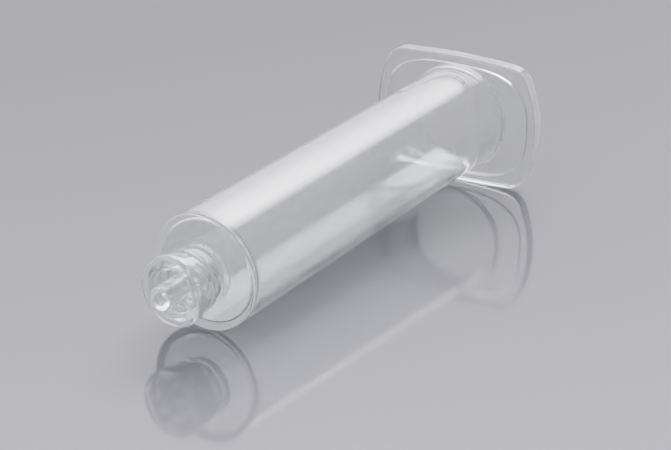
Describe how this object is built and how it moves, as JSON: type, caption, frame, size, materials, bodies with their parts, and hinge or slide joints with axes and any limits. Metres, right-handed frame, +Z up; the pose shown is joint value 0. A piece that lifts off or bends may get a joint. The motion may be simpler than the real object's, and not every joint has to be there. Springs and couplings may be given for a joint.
{
  "type": "luer lock syringe barrel",
  "caption": "Clear empty syringe barrel with a Luer cone nozzle inside a turning threaded lock collar, and a rounded finger flange round its open end.",
  "frame": {"origin": "on the table, midway along the object's length and width, at the lowest point of its box", "axes": "+Y from the nozzle to the finger flange as it lies, +Z up, +X across the flange's long side; the syringe's own axis lies in the YZ plane and climbs 1.84 degrees towards the flange, because the flange is taller than the tube"},
  "size_m": [0.0352, 0.0992, 0.0259],
  "materials": {
    "barrel_clear": "water-clear moulded plastic, polished",
    "collar_clear": "water-clear moulded plastic, polished",
    "flange_clear": "water-clear moulded plastic, polished"
  },
  "bodies": {
    "syringe": {"barrel": "barrel_clear", "finger_flange": "flange_clear"},
    "collar": {"lock_collar": "collar_clear"}
  },
  "joints": [
    {"name": "collar_spin", "type": "hinge", "parent": "syringe", "child": "collar", "pos_m": [0, -0.0429, 0.01002], "axis": [0, 0.9995, 0.0321], "continuous": true}
  ]
}
